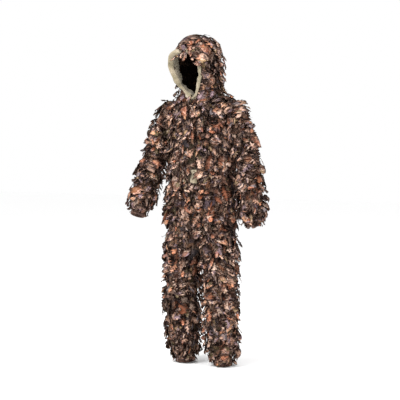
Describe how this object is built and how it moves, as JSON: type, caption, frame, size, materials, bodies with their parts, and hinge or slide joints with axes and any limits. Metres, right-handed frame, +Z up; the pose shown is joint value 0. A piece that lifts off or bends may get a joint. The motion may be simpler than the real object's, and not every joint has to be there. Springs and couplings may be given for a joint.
{
  "type": "ghillie suit",
  "caption": "Hooded, zip-fronted jacket and elastic-waisted trousers of camouflage cloth covered in rows of leaf-cut cloth, shaped as worn by a standing wearer.",
  "frame": {"origin": "the base of the wearer's neck, midway between the shoulders that carry the jacket", "axes": "+Z up along the suit's height, -Y the way the suit faces, +X the wearer's left"},
  "size_m": [0.7387, 0.3206, 1.7026],
  "materials": {
    "camouflage_cloth": "matt, woven",
    "leaf_cloth": "matt, printed and cut into leaves",
    "facing_cloth": "matt, plain woven",
    "cuff_cloth": "matt, gathered",
    "elastic": "ribbed elastic",
    "zip_tape": "matt, woven tape",
    "zip_metal": "satin"
  },
  "bodies": {
    "jacket": {"jacket_back_panel": "camouflage_cloth", "jacket_front_panel_left": "camouflage_cloth", "jacket_front_panel_right": "camouflage_cloth", "jacket_hem_band": "camouflage_cloth", "leaf_cover_back": "leaf_cloth", "leaf_cover_front_left": "leaf_cloth", "leaf_cover_front_right": "leaf_cloth", "neck_tape": "zip_tape", "zip_tape_left": "zip_tape", "zip_tape_right": "zip_tape", "zip_teeth_left": "zip_metal", "zip_teeth_right": "zip_metal", "zip_bottom_box": "zip_metal", "zip_guard_flap": "camouflage_cloth", "hood_neck_section": "camouflage_cloth", "shoulder_section_left": "camouflage_cloth", "shoulder_section_right": "camouflage_cloth"},
    "hood": {"hood_side_panel_left": "camouflage_cloth", "hood_side_panel_right": "camouflage_cloth", "hood_centre_panel": "camouflage_cloth", "hood_facing": "facing_cloth", "leaf_cover_hood": "leaf_cloth"},
    "slider": {"zip_slider": "zip_metal"},
    "pull": {"zip_pull": "zip_metal"},
    "trousers": {"trouser_seat_left": "camouflage_cloth", "trouser_seat_right": "camouflage_cloth", "leaf_cover_seat_left": "leaf_cloth", "leaf_cover_seat_right": "leaf_cloth", "waistband_casing": "camouflage_cloth", "waist_elastic": "elastic", "hip_section_left": "camouflage_cloth", "hip_section_right": "camouflage_cloth"},
    "upper_arm_left": {"sleeve_upper_left": "camouflage_cloth", "leaf_cover_sleeve_upper_left": "leaf_cloth", "elbow_section_left": "camouflage_cloth"},
    "forearm_left": {"sleeve_lower_left": "camouflage_cloth", "leaf_cover_sleeve_lower_left": "leaf_cloth", "cuff_left": "cuff_cloth", "cuff_elastic_left": "elastic"},
    "thigh_left": {"trouser_thigh_left": "camouflage_cloth", "leaf_cover_thigh_left": "leaf_cloth", "knee_section_left": "camouflage_cloth"},
    "shin_left": {"trouser_shin_left": "camouflage_cloth", "leaf_cover_shin_left": "leaf_cloth", "ankle_cuff_left": "cuff_cloth", "ankle_elastic_left": "elastic"},
    "upper_arm_right": {"sleeve_upper_right": "camouflage_cloth", "leaf_cover_sleeve_upper_right": "leaf_cloth", "elbow_section_right": "camouflage_cloth"},
    "forearm_right": {"sleeve_lower_right": "camouflage_cloth", "leaf_cover_sleeve_lower_right": "leaf_cloth", "cuff_right": "cuff_cloth", "cuff_elastic_right": "elastic"},
    "thigh_right": {"trouser_thigh_right": "camouflage_cloth", "leaf_cover_thigh_right": "leaf_cloth", "knee_section_right": "camouflage_cloth"},
    "shin_right": {"trouser_shin_right": "camouflage_cloth", "leaf_cover_shin_right": "leaf_cloth", "ankle_cuff_right": "cuff_cloth", "ankle_elastic_right": "elastic"}
  },
  "joints": [
    {"name": "hood_tip_back", "type": "hinge", "parent": "jacket", "child": "hood", "pos_m": [0, 0.104, 0.036], "axis": [-1, 0, 0], "range_deg": [0, 30], "deforming": ["hood_neck_section"]},
    {"name": "zip_run", "type": "slide", "parent": "jacket", "child": "slider", "axis": [0, -0.0659, -0.9978], "range_m": [0, 0.535]},
    {"name": "pull_swing", "type": "hinge", "parent": "slider", "child": "pull", "pos_m": [0, -0.09917, -0.06924], "axis": [-1, 0, 0], "range_deg": [0, 150]},
    {"name": "trousers_off", "type": "slide", "parent": "jacket", "child": "trousers", "axis": [0, 0, -1], "range_m": [0, 0.2]},
    {"name": "arm_raise_left", "type": "hinge", "parent": "jacket", "child": "upper_arm_left", "pos_m": [0.17, 0, -0.06], "axis": [0, -1, 0], "range_deg": [0, 75], "deforming": ["shoulder_section_left"]},
    {"name": "elbow_left", "type": "hinge", "parent": "upper_arm_left", "child": "forearm_left", "pos_m": [0.268, -0.024, -0.315], "axis": [-1, 0, 0], "range_deg": [0, 85], "deforming": ["elbow_section_left"]},
    {"name": "hip_left", "type": "hinge", "parent": "trousers", "child": "thigh_left", "pos_m": [0.106, 0.004, -0.775], "axis": [-1, 0, 0], "range_deg": [0, 60], "deforming": ["hip_section_left"]},
    {"name": "knee_left", "type": "hinge", "parent": "thigh_left", "child": "shin_left", "pos_m": [0.114, -0.002, -1.045], "axis": [1, 0, 0], "range_deg": [0, 85], "deforming": ["knee_section_left"]},
    {"name": "arm_raise_right", "type": "hinge", "parent": "jacket", "child": "upper_arm_right", "pos_m": [-0.17, 0, -0.06], "axis": [0, 1, 0], "range_deg": [0, 75], "deforming": ["shoulder_section_right"]},
    {"name": "elbow_right", "type": "hinge", "parent": "upper_arm_right", "child": "forearm_right", "pos_m": [-0.272, -0.036, -0.31], "axis": [-1, 0, 0], "range_deg": [0, 68], "deforming": ["elbow_section_right"]},
    {"name": "hip_right", "type": "hinge", "parent": "trousers", "child": "thigh_right", "pos_m": [-0.106, 0.004, -0.775], "axis": [-1, 0, 0], "range_deg": [0, 60], "deforming": ["hip_section_right"]},
    {"name": "knee_right", "type": "hinge", "parent": "thigh_right", "child": "shin_right", "pos_m": [-0.114, -0.002, -1.045], "axis": [1, 0, 0], "range_deg": [0, 85], "deforming": ["knee_section_right"]}
  ]
}
